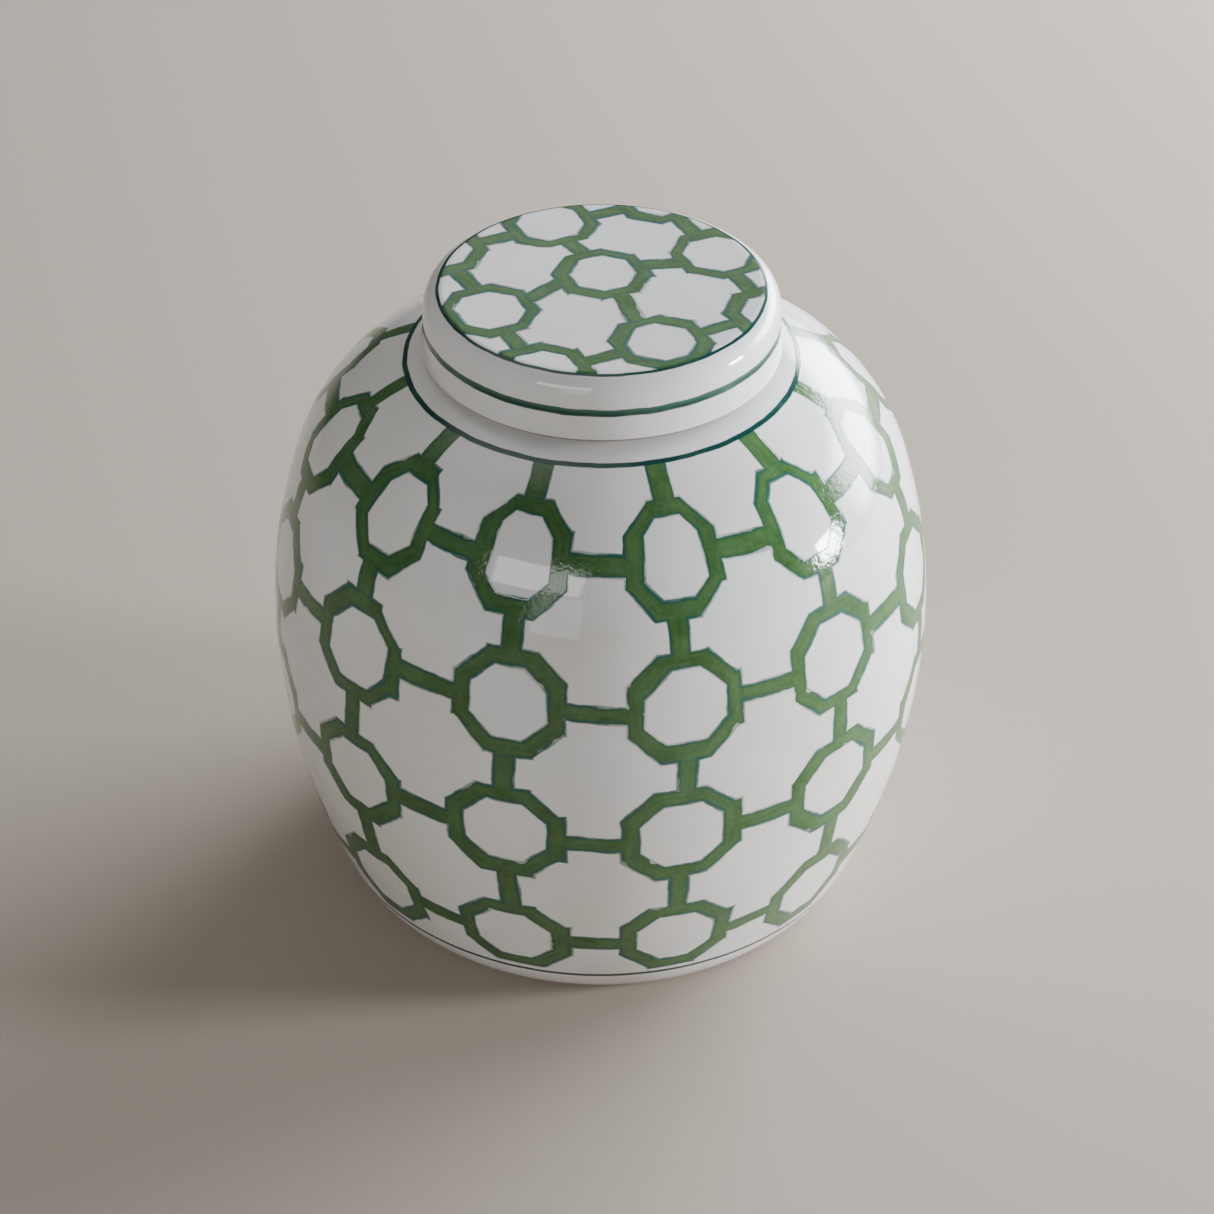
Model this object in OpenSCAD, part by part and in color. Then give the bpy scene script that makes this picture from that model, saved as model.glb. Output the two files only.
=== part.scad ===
// Ginger jar: a round-bellied glazed jar and the flat-topped cap lid that drops over its neck.
// Millimetres, +Z up. The origin is the centre of the foot, on the surface the jar stands on.
// Both pieces are turned shapes, so each one is a single outline spun about Z.

/* [Belly] */
// Widest diameter of the jar
belly_diameter = 206.7; // [165:0.1:250]
// Height of the widest point above the table
belly_height = 95.3; // [79:0.1:115]
// Thickness of the wall of the jar
wall = 5.5; // [3.5:0.1:8]

/* [Sides] */
// Radius of the long curve that rises from the belly
upper_side_radius = 173.4; // [120:0.1:220]
// Angle that this curve turns through before the shoulder takes over, in degrees
upper_side_angle = 18; // [12:0.5:24]
// Slope of the shoulder where it meets the neck, in degrees from level
shoulder_slope = 9.7; // [6:0.1:16]
// Radius of the long curve that falls from the belly
lower_side_radius = 225.3; // [180:0.1:300]
// Radius of the curve that turns the side in to the foot
foot_curve_radius = 29.7; // [20:0.1:34]
// Angle below level at which the wall faces where it reaches the foot
foot_face_angle = 50.8; // [40:0.1:60]

/* [Foot] */
// Width of the ring that the jar stands on
foot_ring_width = 6.5; // [4:0.1:10]
// Depth of the hollow inside the ring
foot_recess = 4; // [2:0.1:6]
// Small bevel at the outer edge of the ring
foot_bevel = 0.8; // [0.3:0.1:1.5]
// Thickness of the floor above the hollow
floor_thickness = 6; // [4:0.1:9]
// Radius of the curve inside, between wall and floor
inside_floor_radius = 30; // [20:0.1:34]

/* [Neck] */
// Thickness of the neck
neck_wall = 6; // [4:0.1:8]
// Radius of the soft corner between neck and shoulder
neck_fillet = 1; // [0.4:0.1:1.5]
// Radius of the two edges of the rim
rim_round = 1.5; // [0.5:0.1:1.9]
// Radius of the edge where the mouth opens into the belly
mouth_round = 2; // [1:0.1:3]

/* [Lid] */
// Diameter of the lid at its lower edge
lid_diameter = 108.8; // [90:0.1:131]
// Height of the lid from its lower edge to its flat top
lid_height = 19.8; // [16:0.1:30]
// Thickness of the lid's side
lid_wall = 5; // [3.5:0.1:7]
// Thickness of the lid's top
lid_top_thickness = 6; // [4:0.1:8]
// Lean of the lid's side towards the top, in degrees
lid_lean = 4; // [0:0.5:8]
// Radius of the lid's rounded top edge
lid_edge_round = 6.2; // [3:0.1:9]
// Radius of the two edges at the bottom of the lid's side
lid_lip_round = 1.2; // [0.5:0.1:1.6]
// Radius of the corner inside the lid
lid_inside_fillet = 1.5; // [0.5:0.1:1.9]

/* [Clearances] */
// Radial gap between the neck and the inside of the lid
lid_clearance = 1; // [0.5:0.1:2]
// Gap between the shoulder and the lower edge of the lid, at the lid's inner wall
lid_gap = 1.6; // [0.8:0.1:4]

/* [Hidden] */
spin_facets = 144;
arc_step = 3; // degrees between the points of a long arc
edge_step = 15; // degrees between the points of a small edge round
recess_draft = 1; // how far the wall of the foot's hollow leans in

belly_radius = belly_diameter / 2;
lid_radius = lid_diameter / 2;
lid_inner_radius = lid_radius - lid_wall;
neck_radius = lid_inner_radius - lid_clearance;
mouth_radius = neck_radius - neck_wall;

// Upper side: centre of its arc, and the radius at which it hands over to the shoulder
upper_side_r = belly_radius - upper_side_radius;
handover_r = upper_side_r + upper_side_radius * cos(upper_side_angle);

// Shoulder: the one radius that leaves the upper side smoothly and meets the neck at shoulder_slope
shoulder_radius = (handover_r - neck_radius) / (cos(upper_side_angle) - sin(shoulder_slope));
shoulder_r = handover_r - shoulder_radius * cos(upper_side_angle);
shoulder_z = belly_height + (upper_side_radius - shoulder_radius) * sin(upper_side_angle);

// Lower side: it hands over to the foot curve at the angle that brings the bevel to the table
foot_curve_z = foot_bevel + foot_curve_radius * sin(foot_face_angle);
lower_side_angle = asin((belly_height - foot_curve_z) / (lower_side_radius - foot_curve_radius));
lower_side_r = belly_radius - lower_side_radius;
foot_curve_r = lower_side_r + (lower_side_radius - foot_curve_radius) * cos(lower_side_angle);
foot_radius = foot_curve_r + foot_curve_radius * cos(foot_face_angle);
recess_radius = foot_radius - foot_bevel - foot_ring_width;

// Inside: the same centres a wall further in, and one arc that runs level into the floor
inside_floor_z = foot_recess + floor_thickness;
inside_lower_radius = lower_side_radius - wall;
inside_curve_z = inside_floor_z + inside_floor_radius;
inside_lower_angle = asin((belly_height - inside_curve_z) / (inside_lower_radius - inside_floor_radius));
inside_curve_r = lower_side_r + (inside_lower_radius - inside_floor_radius) * cos(inside_lower_angle);

// Corner between neck and shoulder, and edge between mouth and belly
fillet_offset_r = neck_radius + neck_fillet - shoulder_r;
fillet_rise = sqrt(pow(shoulder_radius + neck_fillet, 2) - pow(fillet_offset_r, 2));
fillet_angle = atan2(fillet_rise, fillet_offset_r);
inside_shoulder_radius = shoulder_radius - wall;
mouth_offset_r = mouth_radius + mouth_round - shoulder_r;
mouth_rise = sqrt(pow(inside_shoulder_radius + mouth_round, 2) - pow(mouth_offset_r, 2));
mouth_angle = atan2(mouth_rise, mouth_offset_r);

// Heights of the lid: its lower edge hangs lid_gap above the shoulder, its ceiling rests on the rim
lid_bottom_z = shoulder_height(lid_inner_radius) + lid_gap;
lid_top_z = lid_bottom_z + lid_height;
rim_z = lid_top_z - lid_top_thickness;

// Height of the outside of the shoulder at radius r
function shoulder_height(r) = shoulder_z + sqrt(pow(shoulder_radius, 2) - pow(r - shoulder_r, 2));

// Points of an arc from angle a0 to a1, without its first point
function arc(centre_r, centre_z, radius, a0, a1, step = arc_step) =
    let (steps = ceil(abs(a1 - a0) / step))
    [for (i = [1 : steps])
        let (a = a0 + (a1 - a0) * i / steps)
        [centre_r + radius * cos(a), centre_z + radius * sin(a)]];

// The same for the small rounds along an edge, which need fewer points
function edge_arc(centre_r, centre_z, radius, a0, a1) =
    arc(centre_r, centre_z, radius, a0, a1, edge_step);

// Radius of the centre of a round that is tangent to the lid's leaning side at height z
function lid_side_centre(round, z) =
    lid_radius - (round + (z - lid_bottom_z) * sin(lid_lean)) / cos(lid_lean);

// Jar outline: foot, outside up to the neck, rim, and back down the inside
foot_outline = concat(
    [[0, foot_recess], [recess_radius - recess_draft, foot_recess], [recess_radius, 0],
     [foot_radius - foot_bevel, 0], [foot_radius, foot_bevel]]);

outside_outline = concat(
    arc(foot_curve_r, foot_curve_z, foot_curve_radius, -foot_face_angle, -lower_side_angle),
    arc(lower_side_r, belly_height, lower_side_radius, -lower_side_angle, 0),
    arc(upper_side_r, belly_height, upper_side_radius, 0, upper_side_angle),
    arc(shoulder_r, shoulder_z, shoulder_radius, upper_side_angle, fillet_angle));

neck_outline = concat(
    edge_arc(neck_radius + neck_fillet, shoulder_z + fillet_rise, neck_fillet, 180 + fillet_angle, 180),
    [[neck_radius, rim_z - rim_round]],
    edge_arc(neck_radius - rim_round, rim_z - rim_round, rim_round, 0, 90),
    [[mouth_radius + rim_round, rim_z]],
    edge_arc(mouth_radius + rim_round, rim_z - rim_round, rim_round, 90, 180),
    [[mouth_radius, shoulder_z + mouth_rise]],
    edge_arc(mouth_radius + mouth_round, shoulder_z + mouth_rise, mouth_round, 180, 180 + mouth_angle));

inside_outline = concat(
    arc(shoulder_r, shoulder_z, inside_shoulder_radius, mouth_angle, upper_side_angle),
    arc(upper_side_r, belly_height, upper_side_radius - wall, upper_side_angle, 0),
    arc(lower_side_r, belly_height, inside_lower_radius, 0, -inside_lower_angle),
    arc(inside_curve_r, inside_curve_z, inside_floor_radius, -inside_lower_angle, -90),
    [[0, inside_floor_z]]);

// Lid outline: ceiling, inside of the side, lower edge, outside, rounded top edge, flat top
lid_lip_z = lid_bottom_z + lid_lip_round;
lid_edge_z = lid_top_z - lid_edge_round;
lid_outline = concat(
    [[0, rim_z], [lid_inner_radius - lid_inside_fillet, rim_z]],
    edge_arc(lid_inner_radius - lid_inside_fillet, rim_z - lid_inside_fillet, lid_inside_fillet, 90, 0),
    [[lid_inner_radius, lid_lip_z]],
    edge_arc(lid_inner_radius + lid_lip_round, lid_lip_z, lid_lip_round, 180, 270),
    [[lid_side_centre(lid_lip_round, lid_lip_z), lid_bottom_z]],
    edge_arc(lid_side_centre(lid_lip_round, lid_lip_z), lid_lip_z, lid_lip_round, -90, lid_lean),
    [[lid_side_centre(lid_edge_round, lid_edge_z) + lid_edge_round * cos(lid_lean),
      lid_edge_z + lid_edge_round * sin(lid_lean)]],
    arc(lid_side_centre(lid_edge_round, lid_edge_z), lid_edge_z, lid_edge_round, lid_lean, 90),
    [[0, lid_top_z]]);

// Jar: foot ring, belly, shoulder and neck, hollow, open at the mouth
module jar_body() {
    color("#e6e7e3")
        rotate_extrude($fn = spin_facets)
            polygon(concat(foot_outline, outside_outline, neck_outline, inside_outline));
}

// Cap lid: a shallow cap whose ceiling rests on the rim and whose side hangs round the neck
module lid() {
    color("#dcdedb")
        rotate_extrude($fn = spin_facets)
            polygon(lid_outline);
}

jar_body();
lid();
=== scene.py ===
# %% [markdown]
# # A hand-painted porcelain ginger jar
#
# A ginger jar is a round-bellied jar with a flat cap lid. This one is white porcelain, painted all over
# with a green trellis of octagon rings. The jar was designed in CAD, and its two pieces come in here as a
# fixed frame: they give every size and place, and this lesson gives them clay, paint and glaze.
#
# The first cell loads the frame. part_box reads the box of a CAD piece, which later cells use for sizes and
# heights.

# %% Load the frame
import math

import bpy
import numpy as np
from mathutils import Matrix, Vector, noise


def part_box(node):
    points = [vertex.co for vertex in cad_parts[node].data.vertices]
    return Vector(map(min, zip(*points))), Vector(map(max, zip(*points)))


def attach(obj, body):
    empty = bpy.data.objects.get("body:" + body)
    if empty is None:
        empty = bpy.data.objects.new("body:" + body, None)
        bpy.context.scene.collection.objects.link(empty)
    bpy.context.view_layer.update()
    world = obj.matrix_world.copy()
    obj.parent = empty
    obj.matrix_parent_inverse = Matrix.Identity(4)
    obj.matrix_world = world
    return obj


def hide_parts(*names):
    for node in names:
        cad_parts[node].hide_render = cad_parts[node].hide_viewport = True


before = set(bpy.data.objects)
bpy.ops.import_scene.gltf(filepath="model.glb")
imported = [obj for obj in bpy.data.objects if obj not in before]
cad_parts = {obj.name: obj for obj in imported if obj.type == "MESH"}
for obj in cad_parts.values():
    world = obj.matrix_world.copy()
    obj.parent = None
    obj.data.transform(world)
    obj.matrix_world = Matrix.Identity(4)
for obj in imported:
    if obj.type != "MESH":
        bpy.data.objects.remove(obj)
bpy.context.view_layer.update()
MM = 0.001
print("pieces in the frame:", sorted(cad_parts))

# %% [markdown]
# ## The outline that the potter turns
#
# Both pieces are turned shapes, so each is one outline spun about the upright axis. The CAD mesh already
# holds that outline: its seam is a line of vertices straight along +X. Walking along the seam from vertex
# to vertex gives the outline in order, and nothing has to be measured twice.

# %% Read the outline from the seam of a CAD mesh
SEAM_SLACK = 0.001 * MM
MICROMETRES = 6


def seam_outline(node):
    """The outline as (radius, height) points in metres, from the lowest place on the axis, outwards."""
    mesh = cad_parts[node].data
    on_seam = {}
    for vertex in mesh.vertices:
        x, y, z = vertex.co
        if abs(y) < SEAM_SLACK and x > 0:
            on_seam[vertex.index] = (round(x, MICROMETRES), round(z, MICROMETRES))
    neighbours = {}
    for edge in mesh.edges:
        a, b = (on_seam.get(index) for index in edge.vertices)
        if a and b and a != b:
            neighbours.setdefault(a, set()).add(b)
            neighbours.setdefault(b, set()).add(a)
    ends = sorted((point for point, near in neighbours.items() if len(near) == 1), key=lambda p: p[1])
    walked = [ends[0]]
    while walked[-1] != ends[-1]:
        walked.append(next(p for p in neighbours[walked[-1]] if p not in walked[-2:]))
    axis_start = (0.0, walked[0][1])
    axis_end = (0.0, walked[-1][1])
    return np.array([axis_start, *walked, axis_end])


jar_outline = seam_outline("jar_body")
lid_outline = seam_outline("lid")
print("outline points, jar and lid:", len(jar_outline), len(lid_outline))

# %% [markdown]
# ## Sponged edges
#
# While the clay is soft, the potter runs a wet sponge over every edge, so no edge of a real jar is sharp. A
# bevel modifier could do this on the finished mesh. It is simpler on the outline: each sharp corner is
# replaced with five points of a small round, and the spinning takes the round along.

# %% Round each sharp corner of an outline
EDGE_TURN = math.radians(25)
SPONGED_EDGE = 0.45 * MM
ROUND_POINTS = 5


def directions(points):
    """Unit direction and length of each stretch of an outline."""
    steps = np.diff(points, axis=0)
    lengths = np.hypot(steps[:, 0], steps[:, 1])
    return steps / lengths[:, None], lengths


def sponge_edges(points):
    """Replaces each sharp corner with a small round, as a wet sponge does."""
    ways, lengths = directions(points)
    softened = [points[0]]
    for i in range(1, len(points) - 1):
        turn = math.acos(max(-1.0, min(1.0, float(ways[i - 1] @ ways[i]))))
        if turn < EDGE_TURN:
            softened.append(points[i])
            continue
        reach = min(SPONGED_EDGE, lengths[i - 1] / 2, lengths[i] / 2)
        start = points[i] - ways[i - 1] * reach
        end = points[i] + ways[i] * reach
        for t in np.linspace(0, 1, ROUND_POINTS):
            softened.append((1 - t) ** 2 * start + 2 * t * (1 - t) * points[i] + t ** 2 * end)
    softened.append(points[-1])
    return np.array(softened)


jar_sponged = sponge_edges(jar_outline)
lid_sponged = sponge_edges(lid_outline)
print("points with sponged edges, jar and lid:", len(jar_sponged), len(lid_sponged))

# %% [markdown]
# ## From corners to one curve
#
# A CAD outline is made of short straight lines, and a glossy glaze would show each of them as a stripe.
# Clay has no such lines: a throwing rib sweeps it into one curve. Subdivision would smooth them too, but it
# pulls the wall off its true size. So a curve is laid through the points instead. Each stretch is a cubic
# that leaves every point in the direction of the tangent there. A long stretch between two short ones is a
# straight wall, and it stays straight.

# %% Lay a smooth curve through an outline
CURVE_STEP = 2 * MM
STRAIGHT_SHARE = 4


def tangents_along(points):
    """The direction of the curve at each point. A straight wall keeps its direction up to its ends."""
    ways, lengths = directions(points)
    last = len(lengths) - 1
    straight = []
    for i, length in enumerate(lengths):
        before = lengths[i - 1] if i > 0 else 0
        after = lengths[i + 1] if i < last else 0
        straight.append(length > STRAIGHT_SHARE * before and length > STRAIGHT_SHARE * after)
    tangents = [ways[0]]
    for i in range(1, len(points) - 1):
        if straight[i - 1]:
            tangent = ways[i - 1]
        elif straight[i]:
            tangent = ways[i]
        else:
            tangent = ways[i - 1] + ways[i]
        tangents.append(tangent / np.linalg.norm(tangent))
    tangents.append(ways[-1])
    return tangents


def smooth_curve(points):
    """A smooth curve through the points, with points of its own at most CURVE_STEP apart."""
    tangents = tangents_along(points)
    lengths = directions(points)[1]
    curve = [points[0]]
    for i, length in enumerate(lengths):
        pieces = max(1, math.ceil(length / CURVE_STEP))
        for t in np.arange(1, pieces + 1) / pieces:
            from_ends = (2 * t ** 3 - 3 * t ** 2 + 1) * points[i] + (3 * t ** 2 - 2 * t ** 3) * points[i + 1]
            from_ways = (t ** 3 - 2 * t ** 2 + t) * tangents[i] + (t ** 3 - t ** 2) * tangents[i + 1]
            curve.append(from_ends + from_ways * length)
    return np.array(curve)


jar_curve = smooth_curve(jar_sponged)
lid_curve = smooth_curve(lid_sponged)
print("curve points, jar and lid:", len(jar_curve), len(lid_curve))

# %% [markdown]
# ## Where the outline turns from outside to inside
#
# The outline of the jar runs under the foot, up the outside, over the rim and down the inside. The
# painter's rows, the bare clay of the foot and the layout of the baked picture all need to know which part
# is which, so this cell finds the few landmarks: the corner at the foot, the rim, and the place on the
# shoulder where the painter set the first dark line.

# %% Find the landmarks of each outline
SHOULDER_LINE_RADIUS = 60 * MM
FOOT_SHARE = 0.7
OFF_THE_TABLE = 0.2 * MM


def arc_lengths(curve):
    """Distance along a curve at each of its points."""
    return np.concatenate([[0], np.cumsum(directions(curve)[1])])


jar_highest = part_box("jar_body")[1]
lid_lowest, lid_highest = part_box("lid")
jar_along = arc_lengths(jar_curve)
lid_along = arc_lengths(lid_curve)
rim_at = int(np.argmax(jar_curve[:, 1]))
past_foot_ring = jar_curve[:, 0] > FOOT_SHARE * jar_highest.x
foot_at = int(np.argmax(past_foot_ring & (jar_curve[:, 1] > OFF_THE_TABLE)))
belly_at = int(np.argmax(jar_curve[:, 0]))
shoulder_part = jar_curve[belly_at:rim_at, 0]
line_at = belly_at + int(np.argmin(np.abs(shoulder_part - SHOULDER_LINE_RADIUS)))
lid_lip_at = int(np.argmin(lid_curve[:, 1]))
print("shoulder line at height", round(jar_curve[line_at, 1] / MM, 1), "mm")
print("outside of the jar, foot to rim:", round((jar_along[rim_at] - jar_along[foot_at]) / MM, 1), "mm")

# %% [markdown]
# ## The painter's grid
#
# A painter divides the jar before drawing: twelve upright lines round the belly, and four rows of rings
# between the line on the shoulder and the line above the foot. The rows sit a little further apart towards
# the foot. So every point of the jar gets a place on that grid: its column, counted round, and its row,
# counted down. Whole numbers are ring centres. The grid is stored as a second UV map, because it follows
# the clay wherever the curve goes, which a flat projection would not.
#
# FIRST_COLUMN is where column 0 stands, as an angle from the front. FIRST_ROW is how far the first ring
# centres lie below the shoulder line, ROW_STEP and ROW_GROWTH how far apart the rows are, all in mm.

# %% Rows and columns of the grid
COLUMNS = 12
COLUMN_TURN = 2 * math.pi / COLUMNS
FIRST_COLUMN = math.radians(-15.7)
ROWS = 4
FIRST_ROW = 29.5
ROW_STEP = 44.7
ROW_GROWTH = 0.85


def row_at(down):
    """The row number at a distance in mm down from the shoulder line: the inverse of down_at."""
    under_root = ROW_STEP ** 2 + 4 * ROW_GROWTH * (down - FIRST_ROW)
    return 1 + (np.sqrt(under_root) - ROW_STEP) / (2 * ROW_GROWTH)


def down_at(row):
    """The distance in mm down from the shoulder line at a row number."""
    return FIRST_ROW + ROW_STEP * (row - 1) + ROW_GROWTH * (row - 1) ** 2


print("ring centres down from the shoulder line, mm:", [round(down_at(r), 1) for r in range(1, ROWS + 1)])

# %% [markdown]
# ## The unsteady wall
#
# Thrown and hand-finished clay is never quite true, and on a mirror glaze the eye reads that from the bend
# in each reflection. So the wall lies up to a third of a millimetre inside the true one, in slow waves with
# quick ones of a few hundredths on them. It never lies outside, so the jar keeps within its CAD size. A
# bump map could bend the reflections too, but a wave in the mesh is there from every side.

# %% Waves in the wall
SLOW_WAVE = 0.30 * MM
QUICK_WAVE = 0.035 * MM
SLOW_WAVES_PER_METRE = 13
QUICK_WAVES_PER_METRE = 70


def hand_wave(place):
    """How far the hand-made wall lies inside the true one, in metres, at a place in metres."""
    slow = 0.5 + 0.5 * noise.noise(place * SLOW_WAVES_PER_METRE)
    quick = 0.5 + 0.5 * noise.noise(place * QUICK_WAVES_PER_METRE)
    return SLOW_WAVE * slow + QUICK_WAVE * quick


belly_front = Vector((0, -jar_highest.x, jar_curve[belly_at, 1]))
print("inward wave at the front of the belly:", round(hand_wave(belly_front) / MM, 3), "mm")

# %% [markdown]
# ## Throwing the clay
#
# The curve is now spun into a mesh: one vertex at each end on the axis, and one ring of vertices for each
# point between. The Screw modifier would spin it too. Rows of vertices are made by hand here, because every
# corner of every face then gets its exact place in both UV maps. One map is the painter's grid, and the
# other lays the skin out flat for baking, without overlaps.

# %% Spin a curve into a mesh
SEGMENTS = 360


def turn_angle(turn):
    """The angle from the front, to the right, of a turn that is 0 at the back and 0.5 at the front."""
    return (turn - 0.5) * 2 * math.pi


def spun_vertices(curve, wave_share):
    """The vertices of a spun curve. wave_share gives a row's share of the hand wave."""
    ways = directions(curve)[0]
    angles = [turn_angle(j / SEGMENTS) for j in range(SEGMENTS)]
    vertices = [(0, 0, curve[0][1])]
    for i in range(1, len(curve) - 1):
        radius, height = curve[i]
        way = ways[i - 1] + ways[i]
        way = way / np.linalg.norm(way)
        share = wave_share(i)
        for angle in angles:
            x, y = radius * math.sin(angle), -radius * math.cos(angle)
            inward = hand_wave(Vector((x, y, height))) * share if share else 0.0
            narrower = 1 - way[1] * inward / radius
            vertices.append((x * narrower, y * narrower, height + way[0] * inward))
    vertices.append((0, 0, curve[-1][1]))
    return vertices


def spun_faces(rings):
    """The faces between the rings, and each corner's row, its turn and the turn at its face's middle."""
    faces, corners = [], []
    top_ring, tip = 1 + (rings - 1) * SEGMENTS, 1 + rings * SEGMENTS
    for j in range(SEGMENTS):
        k = (j + 1) % SEGMENTS
        left, right = j / SEGMENTS, (j + 1) / SEGMENTS
        middle = (left + right) / 2
        faces.append((0, 1 + k, 1 + j))
        corners += [(0, middle, middle), (1, right, middle), (1, left, middle)]
        for i in range(1, rings):
            low, high = 1 + (i - 1) * SEGMENTS, 1 + i * SEGMENTS
            faces.append((low + j, low + k, high + k, high + j))
            corners += [(i, left, middle), (i, right, middle), (i + 1, right, middle), (i + 1, left, middle)]
        faces.append((top_ring + j, top_ring + k, tip))
        corners += [(rings, left, middle), (rings, right, middle), (rings + 1, middle, middle)]
    return faces, corners


def spun_piece(name, curve, wave_share, bake_place, paint_place):
    """A closed piece from a curve that starts and ends on the axis. bake_place and paint_place give the
    two UVs of a corner from its row, its turn and the turn at the middle of its face."""
    faces, corners = spun_faces(len(curve) - 2)
    mesh = bpy.data.meshes.new(name)
    mesh.from_pydata(spun_vertices(curve, wave_share), [], faces)
    for layer_name, place in (("OFBake", bake_place), ("Paint", paint_place)):
        layer = mesh.uv_layers.new(name=layer_name)
        layer.data.foreach_set("uv", np.array([place(*corner) for corner in corners]).ravel())
    mesh.uv_layers.active = mesh.uv_layers["OFBake"]
    mesh.uv_layers["OFBake"].active_render = True
    mesh.polygons.foreach_set("use_smooth", [True] * len(mesh.polygons))
    mesh.validate()
    piece = bpy.data.objects.new(name, mesh)
    bpy.context.scene.collection.objects.link(piece)
    print(name, len(mesh.vertices), "vertices,", len(mesh.polygons), "faces")
    return piece


# %% [markdown]
# ## The jar
#
# The waves fade out over 14 mm at the foot, which has to stand flat, and at the neck, which has to fit the
# lid. For baking, the front half and the back half of the outside lie one above the other, and the inside
# and the underside take a narrow strip each, because little of them is ever seen. The numbers of the
# layout are shares of the square picture.

# %% Throw the jar
WAVE_FADE = 14 * MM
WAVE_PAST_LINE = 8 * MM
BAKE_MARGIN = 0.01
HALF_TALL = 0.485
FRONT_RAISED = 0.495
ROUND_WIDE = 1.48
STRIP_TALL = 0.98
INSIDE_STRIP = (0.77, 0.14)
UNDERSIDE_STRIP = (0.92, 0.07)


def strip_place(strip, share, turn):
    """A place on a narrow upright strip of the picture. strip is where it starts and how wide it is."""
    start, width = strip
    return start + width * share, BAKE_MARGIN + STRIP_TALL * turn


def jar_wave_share(i):
    """All of the wave on the belly, none at the foot, the rim or inside."""
    if not foot_at < i < rim_at:
        return 0
    from_foot = (jar_along[i] - jar_along[foot_at]) / WAVE_FADE
    from_line = (jar_along[line_at] + WAVE_PAST_LINE - jar_along[i]) / WAVE_FADE
    share = max(0.0, min(1.0, from_foot, from_line))
    return share * share * (3 - 2 * share)


def jar_paint_place(i, turn, middle):
    """Column and row of the painter's grid."""
    column = (turn_angle(turn) - FIRST_COLUMN) / COLUMN_TURN
    return column, row_at((jar_along[line_at] - jar_along[i]) / MM)


def jar_bake_place(i, turn, middle):
    """The front and the back take a broad strip each; the inside and the underside take narrow ones."""
    if foot_at <= i <= rim_at:
        up = (jar_along[i] - jar_along[foot_at]) / (jar_along[rim_at] - jar_along[foot_at])
        in_front = 0.25 < middle < 0.75
        round_half = turn - 0.25 if in_front else (turn + 0.25 if middle < 0.5 else turn - 0.75)
        raised = FRONT_RAISED if in_front else 0
        return BAKE_MARGIN + ROUND_WIDE * round_half, BAKE_MARGIN + HALF_TALL * up + raised
    if i < foot_at:
        return strip_place(UNDERSIDE_STRIP, jar_along[i] / jar_along[foot_at], turn)
    share = (jar_along[i] - jar_along[rim_at]) / (jar_along[-1] - jar_along[rim_at])
    return strip_place(INSIDE_STRIP, share, turn)


jar = spun_piece("jar_glazed", jar_curve, jar_wave_share, jar_bake_place, jar_paint_place)

# %% [markdown]
# ## The lid
#
# The lid is smaller and stiffer, and it has to fit, so it gets no wave. Its painter's map is flat: it holds
# the way from the centre of the top, over the edge and down the side, as on a cloth cap that is cut open
# and laid out. So the circle and the line on the side can use the same map. It holds decimetres, so that
# its numbers stay as small as those of other UV maps, and the finish turns them into millimetres.

# %% Throw the lid
DECIMETRES_PER_METRE = 10
LID_DISC_MIDDLE = 0.43
LID_DISC_RADIUS = 0.415
LID_INSIDE_STRIP = (0.87, 0.12)


def lid_out(i):
    """Distance from the centre of the lid's top, over the edge and down the side, in metres."""
    return lid_along[-1] - lid_along[i]


def no_wave(i):
    """The lid's share of the hand wave."""
    return 0


def lid_paint_place(i, turn, middle):
    """Decimetres to the right and back from the centre of the lid, unrolled over its edge."""
    angle = turn_angle(turn)
    out = lid_out(i) * DECIMETRES_PER_METRE
    return out * math.sin(angle), -out * math.cos(angle)


def lid_bake_place(i, turn, middle):
    """The outside of the lid is one unrolled disc, and its inside a narrow strip beside it."""
    if i >= lid_lip_at:
        size = LID_DISC_RADIUS * lid_out(i) / lid_out(lid_lip_at)
        angle = turn_angle(turn)
        return LID_DISC_MIDDLE + size * math.sin(angle), LID_DISC_MIDDLE - size * math.cos(angle)
    return strip_place(LID_INSIDE_STRIP, lid_along[i] / lid_along[lid_lip_at], turn)


lid = spun_piece("lid_glazed", lid_curve, no_wave, lid_bake_place, lid_paint_place)

# %% [markdown]
# ## A helper for colours and one for nodes
#
# Colours are written as painters' hex values, which are sRGB, and Blender works in linear light. One
# function turns one into the other. The other helper adds a node, sets it and wires it: its inputs are
# numbers, colours or the outputs that feed it.

# %% Colours and nodes
def from_hex(code):
    """A linear RGBA colour from an sRGB hex value."""
    values = [int(code[i:i + 2], 16) / 255 for i in (1, 3, 5)]
    return tuple(v / 12.92 if v <= 0.04045 else ((v + 0.055) / 1.055) ** 2.4 for v in values) + (1.0,)


def add(tree, kind, inputs=None, out=0, **settings):
    """Adds a node and returns one of its outputs, or all of them when out is None. inputs is a list by
    position or a dict by name or position."""
    node = tree.nodes.new("ShaderNode" + kind)
    for name, value in settings.items():
        setattr(node, name, value)
    named = inputs if isinstance(inputs, dict) else dict(enumerate(inputs or []))
    for name, value in named.items():
        if isinstance(value, bpy.types.NodeSocket):
            tree.links.new(value, node.inputs[name])
        else:
            node.inputs[name].default_value = value
    return node.outputs if out is None else node.outputs[out]


print("half grey, linear:", round(from_hex("#808080")[0], 3))

# %% [markdown]
# ## Hand and eye: numbers for each stroke
#
# A painter never repeats a ring exactly. A white-noise node gives three steady random numbers for any key,
# and the key here is the ring, the side or the bar being drawn. So both halves of a stroke agree, and the
# jar looks the same each time it is made. The jar's twelve columns close into a circle, so there a key is
# wrapped: column 7 is column -5 again.

# %% Steady random numbers for a key
OUT_OF_REACH = 99


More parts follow.
